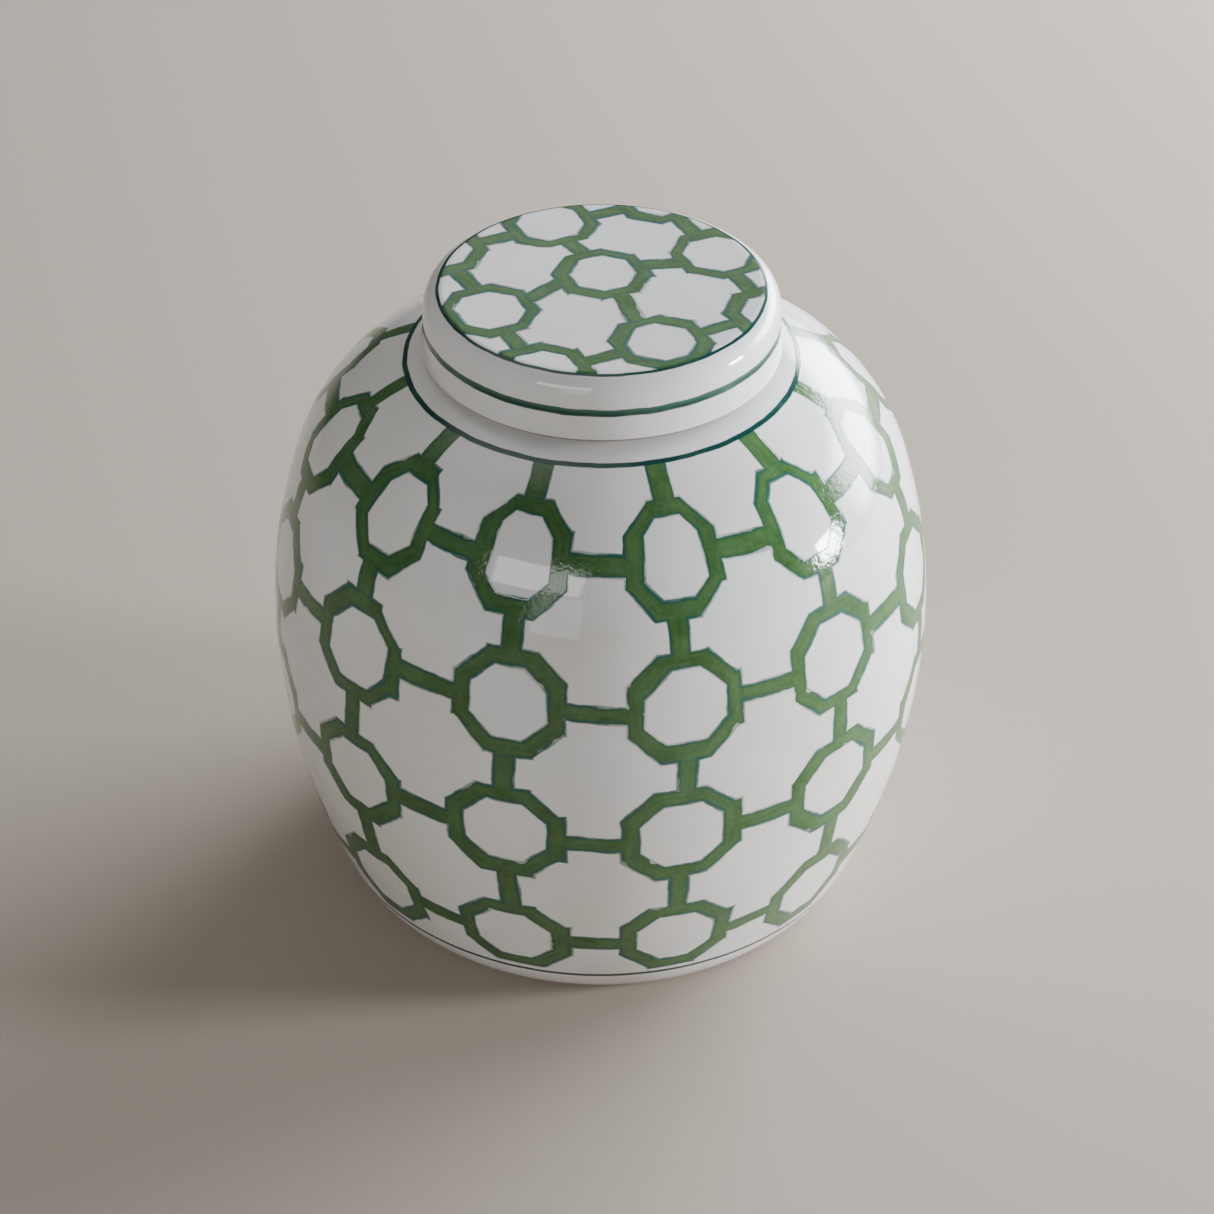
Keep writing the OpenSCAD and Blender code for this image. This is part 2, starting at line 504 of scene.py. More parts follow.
def luck(tree, key, salt, columns=0):
    """Three steady random numbers from -0.5 to 0.5 for a key, as a vector. Where the pattern closes after
    a number of columns, keys that many columns apart are the same."""
    if columns:
        high = (columns / 2 + 0.25, OUT_OF_REACH, OUT_OF_REACH)
        low = (0.25 - columns / 2, -OUT_OF_REACH, -OUT_OF_REACH)
        key = add(tree, "VectorMath", [key, high, low], operation="WRAP")
    salted = add(tree, "VectorMath", [key, (0, 0, salt)], operation="ADD")
    raw = add(tree, "TexWhiteNoise", [salted], out="Color", noise_dimensions="3D")
    return add(tree, "VectorMath", [raw, (0.5, 0.5, 0.5)], operation="SUBTRACT")


# How far the painter's hand strays from side to side: mm, radians for askew, mm per mm for a tilt.
STRAY = {
    "aside": 1.5,
    "askew": 0.09,
    "side": 0.9,
    "slant": 1.5,
    "hole": 1.0,
    "upright_end": 2.2,
    "level_end": 1.8,
    "across": 3.0,
    "across_tilt": 0.16,
    "across_width": 0.7,
    "down": 2.4,
    "down_tilt": 0.14,
    "down_width": 0.5,
}
print("a ring is set up to", STRAY["aside"] / 2, "mm aside")

# %% [markdown]
# ## One ring
#
# The ring is an octagon. The painter draws its upright sides first, each a little longer than it needs to
# be, and joins them with level and slanting ones. So the ends of the first strokes stick out past the
# corners as small spurs, mostly on the right, where the brush was lifted late. That is what makes the
# pattern look hand drawn.
#
# The ring is built from distances in millimetres, negative inside the paint: the greater of two distances
# is where two shapes overlap, and the lesser is either of them. Folding a ring to one quarter with absolute
# values makes eight sides out of three, and keys with the sign of each quarter make the sides differ again.

# %% Distance from the edges of a ring
LEVEL_OUT = 0.2
SLANT_OUT = 0.3
HOLE_OUT = 0.1
LATE_LIFT = 0.6


def ring_aside(tree, cell, local, loose, salt, columns):
    """The place in mm from the centre of a ring that is set a little aside and a little askew."""
    wander = luck(tree, cell, salt, columns)
    reach = (STRAY["aside"] * loose, STRAY["aside"] * loose, 0)
    shift = add(tree, "VectorMath", [wander, reach], operation="MULTIPLY")
    moved = add(tree, "VectorMath", [local, shift], operation="SUBTRACT")
    askew = add(tree, "SeparateXYZ", [wander], out="Z")
    spin = add(tree, "Math", [askew, STRAY["askew"] * loose], operation="MULTIPLY")
    return add(tree, "VectorRotate", {"Vector": moved, "Angle": spin}, rotation_type="Z_AXIS")


def beyond(tree, distance, line, stray, share):
    """How far a distance lies beyond a line that strays by a random share, all in mm."""
    strayed = add(tree, "Math", [share, stray, line], operation="MULTIPLY_ADD")
    return add(tree, "Math", [distance, strayed], operation="SUBTRACT")


def ring_edges(tree, cell, placed, ring, loose, salt, columns, narrow):
    """Distances in mm from the outside of the ring, and from the ring's stroke."""
    folded = add(tree, "VectorMath", [placed], operation="ABSOLUTE")
    x, y, _ = add(tree, "SeparateXYZ", [folded], out=None)
    diagonal = (math.sqrt(0.5), math.sqrt(0.5), 0)
    slant = add(tree, "VectorMath", [folded, diagonal], out="Value", operation="DOT_PRODUCT")
    quarter = add(tree, "VectorMath", [placed], operation="SIGN")
    quarter = add(tree, "VectorMath", [quarter, (0.25, 0.25, 0)], operation="MULTIPLY")
    upright_key = add(tree, "VectorMath", [quarter, (1, 0, 0), cell], operation="MULTIPLY_ADD")
    level_key = add(tree, "VectorMath", [quarter, (0, 1, 0), cell], operation="MULTIPLY_ADD")
    corner_key = add(tree, "VectorMath", [quarter, cell], operation="ADD")
    upright = add(tree, "SeparateXYZ", [luck(tree, upright_key, salt + 1, columns)], out=None)
    level = add(tree, "SeparateXYZ", [luck(tree, level_key, salt + 2, columns)], out=None)
    corner = add(tree, "SeparateXYZ", [luck(tree, corner_key, salt + 3, columns)], out=None)
    far_corner = add(tree, "SeparateXYZ", [luck(tree, corner_key, salt + 4, columns)], out=None)

    # The octagon's outside, and the spurs where its upright and level strokes run on.
    past_side = beyond(tree, x, ring["half"], STRAY["side"] * loose, upright[0])
    past_top = beyond(tree, y, ring["half"] + LEVEL_OUT, STRAY["side"] * loose, level[0])
    past_slant = beyond(tree, slant, ring["half"] + SLANT_OUT, STRAY["slant"] * loose, corner[0])
    square = add(tree, "Math", [past_side, past_top], operation="MAXIMUM")
    octagon = add(tree, "Math", [square, past_slant], operation="MAXIMUM")
    half_side = ring["half"] * math.tan(math.pi / 8)
    to_the_right = add(tree, "SeparateXYZ", [quarter], out="X")
    lift = [to_the_right, 4 * LATE_LIFT, half_side + ring["spur"]]
    late_lift = add(tree, "Math", lift, operation="MULTIPLY_ADD")
    upright_end = beyond(tree, y, late_lift, STRAY["upright_end"] * loose, corner[1])
    level_end = beyond(tree, x, half_side + ring["spur"] * 0.3, STRAY["level_end"] * loose, corner[2])
    upright_stroke = add(tree, "Math", [past_side, upright_end], operation="MAXIMUM")
    level_stroke = add(tree, "Math", [past_top, level_end], operation="MAXIMUM")
    strokes = add(tree, "Math", [upright_stroke, level_stroke], operation="MINIMUM")
    outer = add(tree, "Math", [octagon, strokes], operation="MINIMUM")

    # The hole in the ring, and the ring as its outside less its hole.
    stroke = ring["half"] - ring["hole"]
    hole_half = add(tree, "Math", [narrow, -stroke, ring["half"]], operation="MULTIPLY_ADD")
    hole_side = beyond(tree, x, hole_half, STRAY["hole"] * loose, upright[1])
    hole_top = beyond(tree, y, ring["hole"] + HOLE_OUT, STRAY["hole"] * loose, level[1])
    hole_slant = beyond(tree, slant, ring["hole"] + HOLE_OUT, STRAY["slant"] * loose, far_corner[0])
    hole = add(tree, "Math", [hole_side, hole_top], operation="MAXIMUM")
    hole = add(tree, "Math", [hole, hole_slant], operation="MAXIMUM")
    inside = add(tree, "Math", [hole, -1.0], operation="MULTIPLY")
    return outer, add(tree, "Math", [outer, inside], operation="MAXIMUM")


# %% [markdown]
# ## The bars, and the whole trellis
#
# A bar joins each ring to its neighbour, level ones across and upright ones down. Each is a stroke through
# the middle between two rings, a little off and a little tilted, and it starts under the ring's own stroke,
# so that no gap shows. Its key is the place halfway to the neighbour, so both rings draw the same bar.
#
# Where the columns draw together, near neck and foot, a painter's brush stays as wide as it is. So the
# widths of upright strokes are worked out in true millimetres there.

# %% Distance from the edges of the bars and of the trellis
STREAKS_APART = 300.0


def bar_edge(tree, off_line, width, along, start):
    """Distance in mm from the edge of a bar of a half-width that starts at a distance along it."""
    aside = add(tree, "Math", [off_line], operation="ABSOLUTE")
    aside = add(tree, "Math", [aside, width], operation="SUBTRACT")
    along = add(tree, "Math", [along], operation="ABSOLUTE")
    before = add(tree, "Math", [start, along], operation="SUBTRACT")
    return add(tree, "Math", [aside, before], operation="MAXIMUM")


def off_bar_line(tree, local, along_middle, chance, tilt, stray):
    """How far in mm a place lies off the line of a bar that is tilted and set aside by chance."""
    tilted = add(tree, "Math", [chance[0], tilt], operation="MULTIPLY")
    aside = add(tree, "Math", [chance[1], stray], operation="MULTIPLY")
    line = add(tree, "Math", [along_middle, tilted, aside], operation="MULTIPLY_ADD")
    return add(tree, "Math", [local, line], operation="SUBTRACT")


def trellis(tree, cell, local, pitch, ring, loose, salt, columns=0, narrow=1.0):
    """Distances in mm from the edge of the nearest ring and bar, and what the brush needs.
    cell is the ring's own whole numbers, local the place in mm from its centre, pitch the grid in mm.
    narrow is how many of local's x millimetres make one true one, where the columns draw together."""
    placed = ring_aside(tree, cell, local, loose, salt, columns)
    outer, ring_edge = ring_edges(tree, cell, placed, ring, loose, salt, columns, narrow)

    half_step = add(tree, "VectorMath", [local], operation="SIGN")
    half_step = add(tree, "VectorMath", [half_step, (0.5, 0.5, 0)], operation="MULTIPLY")
    across_key = add(tree, "VectorMath", [half_step, (1, 0, 0), cell], operation="MULTIPLY_ADD")
    down_key = add(tree, "VectorMath", [half_step, (0, 1, 0), cell], operation="MULTIPLY_ADD")
    across = add(tree, "SeparateXYZ", [luck(tree, across_key, salt + 5, columns)], out=None)
    down = add(tree, "SeparateXYZ", [luck(tree, down_key, salt + 6, columns)], out=None)
    to_middle = add(tree, "VectorMath", [half_step, pitch], operation="MULTIPLY")
    from_middle = add(tree, "VectorMath", [local, to_middle], operation="SUBTRACT")
    x, y, _ = add(tree, "SeparateXYZ", [local], out=None)
    middle_x, middle_y, _ = add(tree, "SeparateXYZ", [from_middle], out=None)

    tilt, aside = STRAY["across_tilt"] * loose, STRAY["across"] * loose
    off_across = off_bar_line(tree, y, middle_x, across, tilt, aside)
    tilt, aside = STRAY["down_tilt"] * loose, STRAY["down"] * loose
    off_down = off_bar_line(tree, x, middle_y, down, tilt, aside)
    across_width = [across[2], STRAY["across_width"] * loose, ring["bar"]]
    across_width = add(tree, "Math", across_width, operation="MULTIPLY_ADD")
    down_width = [down[2], STRAY["down_width"] * loose, ring["bar"]]
    down_width = add(tree, "Math", down_width, operation="MULTIPLY_ADD")
    down_width = add(tree, "Math", [narrow, down_width], operation="MULTIPLY")
    start = (ring["half"] + ring["hole"]) / 2
    apart = {"Vector": luck(tree, cell, salt + 7, columns), "Scale": STREAKS_APART}
    return {
        "ring": ring_edge,
        "outer": outer,
        "across": bar_edge(tree, off_across, across_width, x, start),
        "down": bar_edge(tree, off_down, down_width, y, start),
        "off_across": off_across,
        "off_down": off_down,
        "place": placed,
        "local": local,
        "own_place": add(tree, "VectorMath", apart, operation="SCALE"),
    }


# %% [markdown]
# ## Colours of the paint, the glaze and the clay
#
# Greens for porcelain come from chrome and copper. The outline is a dark blue-green, drawn first with a fine
# brush, and the fill is a leaf green that goes from thin and yellowish to deep where it pools. The glaze is a
# cool white. Where the jar stands in the kiln, and where its lid sits, the glaze is wiped off and the clay
# stays bare. The lid's bare lip is painted much darker than that clay: a painted shade that stands in for the
# shadow in the narrow gap under the lid.

# %% Colours
LEAF = from_hex("#43663e")
LEAF_DARK = from_hex("#2f5428")
LEAF_THIN = from_hex("#6f9259")
OUTLINE = from_hex("#235a50")
LINE_TEAL = from_hex("#103f3a")
LINE_THIN = from_hex("#4d8063")
WHITE_GLAZE = from_hex("#ececea")
WHITE_WARM = from_hex("#e6e3dc")
IRON_SPECK = from_hex("#8d7f6d")
BARE_CLAY = from_hex("#c4b59d")
# Painted shade: this dark clay colour on the lid's bare lip stands in for the shadow in the gap under the
# lid.
LIP_CLAY_PAINTED_SHADE = from_hex("#7d7163")
print("leaf green, linear:", [round(c, 3) for c in LEAF[:3]])

# %% [markdown]
# ## Soft edges and blots
#
# Two things come back in every finish. One is a soft edge: paint that bleeds a little doesn't stop at a
# line, it goes over smoothly from none to all. The other is a mottle: soft blots of a known size, drawn
# from noise. Most uneven things on a jar are a mottle of some size, from glaze that lies thick and thin over
# centimetres to the tremble of a brush over three millimetres.

# %% Soft edge and mottle
def soft_edge(tree, value, start, full, at_start=0.0, at_full=1.0):
    """Goes smoothly from at_start to at_full while value goes from start to full, and stops there."""
    wires = {"Value": value, "From Min": start, "From Max": full, "To Min": at_start, "To Max": at_full}
    return add(tree, "MapRange", wires, interpolation_type="SMOOTHSTEP")


def mottle(tree, place, size, between, levels=(0.0, 1.0), detail=2.0):
    """Soft blots of a size in mm, at places in mm: the first level where the noise is under the lower
    number of between, the second where it is over the upper one."""
    wires = {"Vector": place, "Scale": 1 / size, "Detail": detail}
    blots = add(tree, "TexNoise", wires, noise_dimensions="3D")
    return soft_edge(tree, blots, *between, *levels)


# %% [markdown]
# ## White glaze with a little life in it
#
# Fired porcelain is never one white. The glaze is warmer where it lies thick, and now and then a grain of
# iron in the clay melts into a tiny brown speck. The specks are a tenth of a millimetre on a real jar and
# are drawn about half a millimetre across here, so that a few of them can be seen. A Voronoi texture gives
# them, because the distance from its scattered points makes round dots. The points lie all through the clay,
# and only those at the skin show. SPECK_START and SPECK_FULL are where a dot's soft edge starts and ends,
# as shares of the distance between the points.

# %% The white under the paint
SPECKS_PER_MM = 0.055
SPECK_START = 0.022
SPECK_FULL = 0.008


def white_ground(tree, place):
    """The white of the glaze, warmer in broad blots, with a few iron specks."""
    warm = mottle(tree, place, 45.0, (0.35, 0.7), detail=3.0)
    white = add(tree, "Mix", {0: warm, 6: WHITE_GLAZE, 7: WHITE_WARM}, out=2, data_type="RGBA")
    scattered = {"Vector": place, "Scale": SPECKS_PER_MM}
    grain = add(tree, "TexVoronoi", scattered, out="Distance", voronoi_dimensions="3D")
    speck = soft_edge(tree, grain, SPECK_START, SPECK_FULL, 0.0, 0.6)
    return add(tree, "Mix", {0: speck, 6: white, 7: IRON_SPECK}, out=2, data_type="RGBA")


print("grains of iron lie about", round(1 / SPECKS_PER_MM), "mm apart in the clay")

# %% [markdown]
# ## Streaks of the brush
#
# Along each stroke the brush leaves streaks. A streak is noise that is stretched along the stroke: quick
# across it and slow along it. So each place first needs to know which way its stroke runs. On a ring that
# is round the centre, and on a bar it is along the bar. Each ring has its own part of the noise, so no two
# rings have the same streaks. The Mix node has one set of sockets for each kind of data: for vectors they
# are 4 and 5 and the output is 1, and for colours they are 6 and 7 and the output is 2.

# %% Streaks along each stroke
STROKE_RADIUS = 15.0
ALONG_STROKE = 0.14
STREAK_WIDTH = 1.5


def brush_streaks(tree, edges):
    """Streaks from 0 to 1 that run round the rings and along the bars."""
    x, y, _ = add(tree, "SeparateXYZ", [edges["place"]], out=None)
    angle = add(tree, "Math", [y, x], operation="ARCTAN2")
    along_ring = add(tree, "Math", [angle, STROKE_RADIUS], operation="MULTIPLY")
    ring_way = add(tree, "CombineXYZ", [edges["outer"], along_ring, 0.0])
    local_x, local_y, _ = add(tree, "SeparateXYZ", [edges["local"]], out=None)
    across_way = add(tree, "CombineXYZ", [edges["off_across"], local_x, 20.0])
    down_way = add(tree, "CombineXYZ", [edges["off_down"], local_y, 40.0])
    on_across = add(tree, "Math", [edges["across"], edges["down"]], operation="LESS_THAN")
    bar_way = add(tree, "Mix", {0: on_across, 4: down_way, 5: across_way}, out=1, data_type="VECTOR")
    on_ring = soft_edge(tree, edges["ring"], 0.1, -0.1)
    brush_way = add(tree, "Mix", {0: on_ring, 4: bar_way, 5: ring_way}, out=1, data_type="VECTOR")
    own_way = add(tree, "VectorMath", [edges["own_place"], brush_way], operation="ADD")
    stretched = add(tree, "VectorMath", [own_way, (1.0, ALONG_STROKE, 1.0)], operation="MULTIPLY")
    return mottle(tree, stretched, STREAK_WIDTH, (0.25, 0.75))


print("brush streaks, mm:", STREAK_WIDTH, "across and", round(STREAK_WIDTH / ALONG_STROKE, 1), "along")

# %% [markdown]
# ## The leaf-green fill
#
# The trellis is drawn with a fine brush in dark blue-green, then filled with a broad brush in leaf green.
# The fill rarely meets the drawn line exactly: mostly it covers it, and here and there it leaves a sliver of
# white. It is deep where the colour pooled and along its edges, and thin where the brush ran dry. The
# patches of thick and thin paint are also what lifts the glaze, so they are handed on as a thickness.

# %% Fill the trellis
def leaf_fill(tree, edges, drawn, place):
    """The share of fill, its colour and how thick it lies. drawn is the distance from the drawn edge."""
    streak = brush_streaks(tree, edges)
    daub = mottle(tree, place, 1.6, (0.3, 0.7), detail=3.0)
    pool = mottle(tree, place, 12.0, (0.3, 0.7))
    leaf = add(tree, "Mix", {0: pool, 6: LEAF, 7: LEAF_DARK}, out=2, data_type="RGBA")
    thin_streak = add(tree, "Math", [streak, 0.2], operation="MULTIPLY")
    leaf = add(tree, "Mix", {0: thin_streak, 6: leaf, 7: LEAF_THIN}, out=2, data_type="RGBA")
    thin_daub = add(tree, "Math", [daub, 0.14], operation="MULTIPLY")
    leaf = add(tree, "Mix", {0: thin_daub, 6: leaf, 7: LEAF_THIN}, out=2, data_type="RGBA")
    near_edge = soft_edge(tree, drawn, -1.5, -0.3, 0.0, 0.4)
    leaf = add(tree, "Mix", {0: near_edge, 6: leaf, 7: LEAF_DARK}, out=2, data_type="RGBA")

    slack = mottle(tree, place, 7.0, (0.58, 0.78), (0.0, 0.8))
    reach = add(tree, "Math", [drawn, slack], operation="ADD")
    filled = soft_edge(tree, reach, 0.2, -0.2)
    lie = add(tree, "Math", [daub, 0.6, 0.7], operation="MULTIPLY_ADD")
    return filled, leaf, lie


# %% [markdown]
# ## The drawn outline
#
# The fine line follows every edge of the trellis. It gets wider and darker with the pressure of the hand.
# In the kiln it bleeds a little into the glaze, so it has a faint halo on its outer side. Where a bar meets
# a ring, the ring's own line was drawn first and shows through the fill here and there.

# %% Draw the outline
def drawn_outline(tree, edges, drawn, bars, unsteady, place):
    """The share of the drawn line. bars is the distance from the nearest bar's edge."""
    pressure = mottle(tree, place, 11.0, (0.3, 0.7), (0.2, 0.6))
    from_line = add(tree, "Math", [drawn, 0.1], operation="ADD")
    from_line = add(tree, "Math", [from_line], operation="ABSOLUTE")
    from_line = add(tree, "Math", [from_line, pressure], operation="SUBTRACT")
    line = soft_edge(tree, from_line, 0.5, -0.1)
    strength = mottle(tree, place, 16.0, (0.3, 0.65), (0.45, 0.95))
    line = add(tree, "Math", [line, strength], operation="MULTIPLY")

    halo = soft_edge(tree, drawn, 0.9, 0.0, 0.0, 0.22)
    outside = add(tree, "Math", [drawn, 0.0], operation="GREATER_THAN")
    halo = add(tree, "Math", [halo, outside], operation="MULTIPLY")
    line = add(tree, "Math", [line, halo], operation="MAXIMUM")

    ring_drawn = add(tree, "Math", [edges["outer"], unsteady], operation="ADD")
    from_ring = add(tree, "Math", [ring_drawn], operation="ABSOLUTE")
    crossing = soft_edge(tree, from_ring, 0.7, 0.1)
    on_bar = soft_edge(tree, bars, 0.1, -0.4)
    crossing = add(tree, "Math", [crossing, on_bar], operation="MULTIPLY")
    faint = mottle(tree, place, 8.0, (0.45, 0.7), (0.05, 0.55))
    crossing = add(tree, "Math", [crossing, faint], operation="MULTIPLY")
    return add(tree, "Math", [line, crossing], operation="MAXIMUM")


# %% [markdown]
# ## Laying the paint on
#
# The hand trembles over a few millimetres and drifts over a few centimetres, so the drawn edge of the
# trellis wobbles and sways. Fill and outline both follow that unsteady edge, as they do on the real jar,
# where the brush follows the line.

# %% Paint the trellis and the lines
def painted_trellis(tree, edges, place, shown, ground):
    """Paints the trellis over the ground colour. Returns the colour and how thick the paint lies."""
    wobble = mottle(tree, place, 3.5, (0.25, 0.75), (-0.13, 0.13))
    sway = mottle(tree, place, 18.0, (0.3, 0.7), (-0.28, 0.28))
    unsteady = add(tree, "Math", [wobble, sway], operation="ADD")
    bars = add(tree, "Math", [edges["across"], edges["down"]], operation="MINIMUM")
    nearest = add(tree, "Math", [edges["ring"], bars], operation="MINIMUM")
    drawn = add(tree, "Math", [nearest, unsteady], operation="ADD")
    filled, leaf, lie = leaf_fill(tree, edges, drawn, place)
    line = drawn_outline(tree, edges, drawn, bars, unsteady, place)

    filled = add(tree, "Math", [filled, shown], operation="MULTIPLY")
    line = add(tree, "Math", [line, shown], operation="MULTIPLY")
    colour = add(tree, "Mix", {0: filled, 6: ground, 7: leaf}, out=2, data_type="RGBA")
    colour = add(tree, "Mix", {0: line, 6: colour, 7: OUTLINE}, out=2, data_type="RGBA")
    return colour, add(tree, "Math", [filled, lie], operation="MULTIPLY")


def painted_line(tree, distance, half_width, place, under, thin_share=0.0):
    """A dark blue-green line over the colour under it. distance is in mm, negative on its upper side."""
    wobble = mottle(tree, place, 8.0, (0.25, 0.75), (-0.14, 0.14))
    from_middle = add(tree, "Math", [distance, wobble], operation="ADD")
    from_middle = add(tree, "Math", [from_middle], operation="ABSOLUTE")
    from_edge = add(tree, "Math", [from_middle, half_width], operation="SUBTRACT")
    line = soft_edge(tree, from_edge, 0.25, -0.15)
    tone = mottle(tree, place, 12.0, (0.45, 0.8), (0.0, 0.5), detail=3.0)
    above = soft_edge(tree, distance, half_width * 0.2, -half_width * 0.5, 0.0, thin_share)
    thin = add(tree, "Math", [tone, above], operation="MAXIMUM")
    colour = add(tree, "Mix", {0: thin, 6: LINE_TEAL, 7: LINE_THIN}, out=2, data_type="RGBA")
    return add(tree, "Mix", {0: line, 6: under, 7: colour}, out=2, data_type="RGBA"), line


# %% [markdown]
# ## The glaze
#
# Porcelain is fired with a clear glaze about a quarter of a millimetre thick: glass, with an index of
# refraction near 1.5 and an almost perfectly smooth skin. It gives sharp reflections of the windows. The
# skin isn't flat, though. It has slow ripples a few millimetres apart, and it stands up slightly where
# paint lies under it, so that a highlight breaks up there. Bare clay is matt and finely grained. The skin
# is a bump and not mesh, because it is only hundredths of a millimetre deep.

# %% Glaze over paint
GLASS_IOR = 1.5
SKIN_DEPTH = 0.03 * MM
RIPPLE_SIZE = 9.0
FINE_RIPPLE_SIZE = 2.2
GRIT_SIZE = 0.5


def glazed(tree, colour, thickness, place, bare, clay=BARE_CLAY):
    """The glossy shader of the glazed porcelain, and matt clay where bare is 1."""
    ripple = add(tree, "TexNoise", {"Vector": place, "Scale": 1 / RIPPLE_SIZE, "Detail": 1.0})
    fine_ripple = add(tree, "TexNoise", {"Vector": place, "Scale": 1 / FINE_RIPPLE_SIZE, "Detail": 2.0})
    height = add(tree, "Math", [fine_ripple, 0.05, ripple], operation="MULTIPLY_ADD")
    height = add(tree, "Math", [thickness, 1.6, height], operation="MULTIPLY_ADD")
    grit = add(tree, "TexNoise", {"Vector": place, "Scale": 1 / GRIT_SIZE, "Detail": 2.0})
    grit = add(tree, "Math", [bare, grit], operation="MULTIPLY")
    height = add(tree, "Math", [grit, 2.0, height], operation="MULTIPLY_ADD")
    skin = add(tree, "Bump", {"Strength": 1.0, "Distance": SKIN_DEPTH, "Height": height})
    gloss = soft_edge(tree, thickness, 0.0, 1.2, 0.05, 0.12)
    roughness = add(tree, "Math", [bare, 0.6, gloss], operation="MULTIPLY_ADD")
    surface = add(tree, "Mix", {0: bare, 6: colour, 7: clay}, out=2, data_type="RGBA")
    wires = {"Base Color": surface, "Roughness": roughness, "IOR": GLASS_IOR, "Normal": skin}
    shader = add(tree, "BsdfPrincipled", wires)
    tree.links.new(shader, tree.nodes["Material Output"].inputs["Surface"])


def empty_material(name):
    """A material with only its output node, and the node tree."""
    material = bpy.data.materials.new(name)
    material.use_nodes = True
    tree = material.node_tree
    for node in list(tree.nodes):
        if node.type != "OUTPUT_MATERIAL":
            tree.nodes.remove(node)
    return material, tree


def place_in_mm(tree):
    """A point of the piece in its own millimetres, for patterns that are steady in the clay."""
    own = add(tree, "TexCoord", out="Object")
    return add(tree, "VectorMath", {"Vector": own, "Scale": 1 / MM}, operation="SCALE")


print("ripples in the glaze, mm:", RIPPLE_SIZE, "and", FINE_RIPPLE_SIZE)

# %% [markdown]
# ## The trellis round the jar
#
# A ring is given by half its width, half the width of its hole, how far its spurs run on, and half the
# width of its bars, all in mm. Rings are a little narrower in the upper rows. The lowest rings have no bars
# below them. The sums below turn the grid on the UV map back into millimetres from the nearest ring.

# %% From the grid to the jar's trellis
RING = {"half": 17.3, "hole": 12.2, "spur": 0.4, "bar": 2.95}
NOMINAL_COLUMN = 51.6
ROW_NARROWING = 0.03
NO_BAR = 100.0


def down_from_line(tree, row_number):
    """down_at in nodes: the distance in mm down from the shoulder line at a row number."""
    past_first = add(tree, "Math", [row_number, 1.0], operation="SUBTRACT")
    step = add(tree, "Math", [past_first, ROW_GROWTH, ROW_STEP], operation="MULTIPLY_ADD")
    return add(tree, "Math", [past_first, step, FIRST_ROW], operation="MULTIPLY_ADD")


def jar_trellis(tree, place):
    """The edges of the trellis round the jar, and the distance in mm down from the shoulder line."""
    grid = add(tree, "UVMap", uv_map="Paint")
    column, row, _ = add(tree, "SeparateXYZ", [grid], out=None)
    nearest_column = add(tree, "Math", [column], operation="ROUND")
    nearest_row = add(tree, "Math", [row], operation="ROUND")
    nearest_row = add(tree, "Clamp", {"Value": nearest_row, "Min": 1.0, "Max": float(ROWS)})
    down = down_from_line(tree, row)

    middle_row = (1 + ROWS) / 2
    widen = [nearest_row, -ROW_NARROWING, 1 + ROW_NARROWING * middle_row]
    widen = add(tree, "Math", widen, operation="MULTIPLY_ADD")
    local_x = add(tree, "Math", [column, nearest_column], operation="SUBTRACT")
    local_x = add(tree, "Math", [local_x, NOMINAL_COLUMN], operation="MULTIPLY")
    local_x = add(tree, "Math", [local_x, widen], operation="MULTIPLY")
    local_y = add(tree, "Math", [down, down_from_line(tree, nearest_row)], operation="SUBTRACT")
    local = add(tree, "CombineXYZ", [local_x, local_y, 0.0])
    cell = add(tree, "CombineXYZ", [nearest_column, nearest_row, 0.0])

    level_place = add(tree, "VectorMath", [place, (1, 1, 0)], operation="MULTIPLY")
    radius = add(tree, "VectorMath", [level_place], out="Value", operation="LENGTH")
    narrow = add(tree, "Math", [NOMINAL_COLUMN / COLUMN_TURN, radius], operation="DIVIDE")
    narrow = add(tree, "Math", [narrow, widen], operation="MULTIPLY")
    pitch = (NOMINAL_COLUMN, ROW_STEP + 2 * ROW_GROWTH, 0)
    edges = trellis(tree, cell, local, pitch, RING, 1.0, salt=10, columns=COLUMNS, narrow=narrow)
    below_last = add(tree, "Math", [down, float(down_at(ROWS))], operation="GREATER_THAN")
    edges["down"] = add(tree, "Math", [below_last, NO_BAR, edges["down"]], operation="MULTIPLY_ADD")
    return edges, down


# %% [markdown]
# ## The jar's finish: painted, glazed porcelain
#
# The trellis ends at a dark line on the shoulder and a finer one above the foot. The glaze ends a little
# above the foot and just below the rim, along an edge that is wiped by hand and so wanders a little.

# %% Paint and glaze the jar
SHOULDER_LINE = 0.8
FOOT_LINE = 0.7
FOOT_LINE_DOWN = 191.5
BARE_FOOT = 0.9
BARE_RIM = 0.8
WIPED_EDGE = 0.1


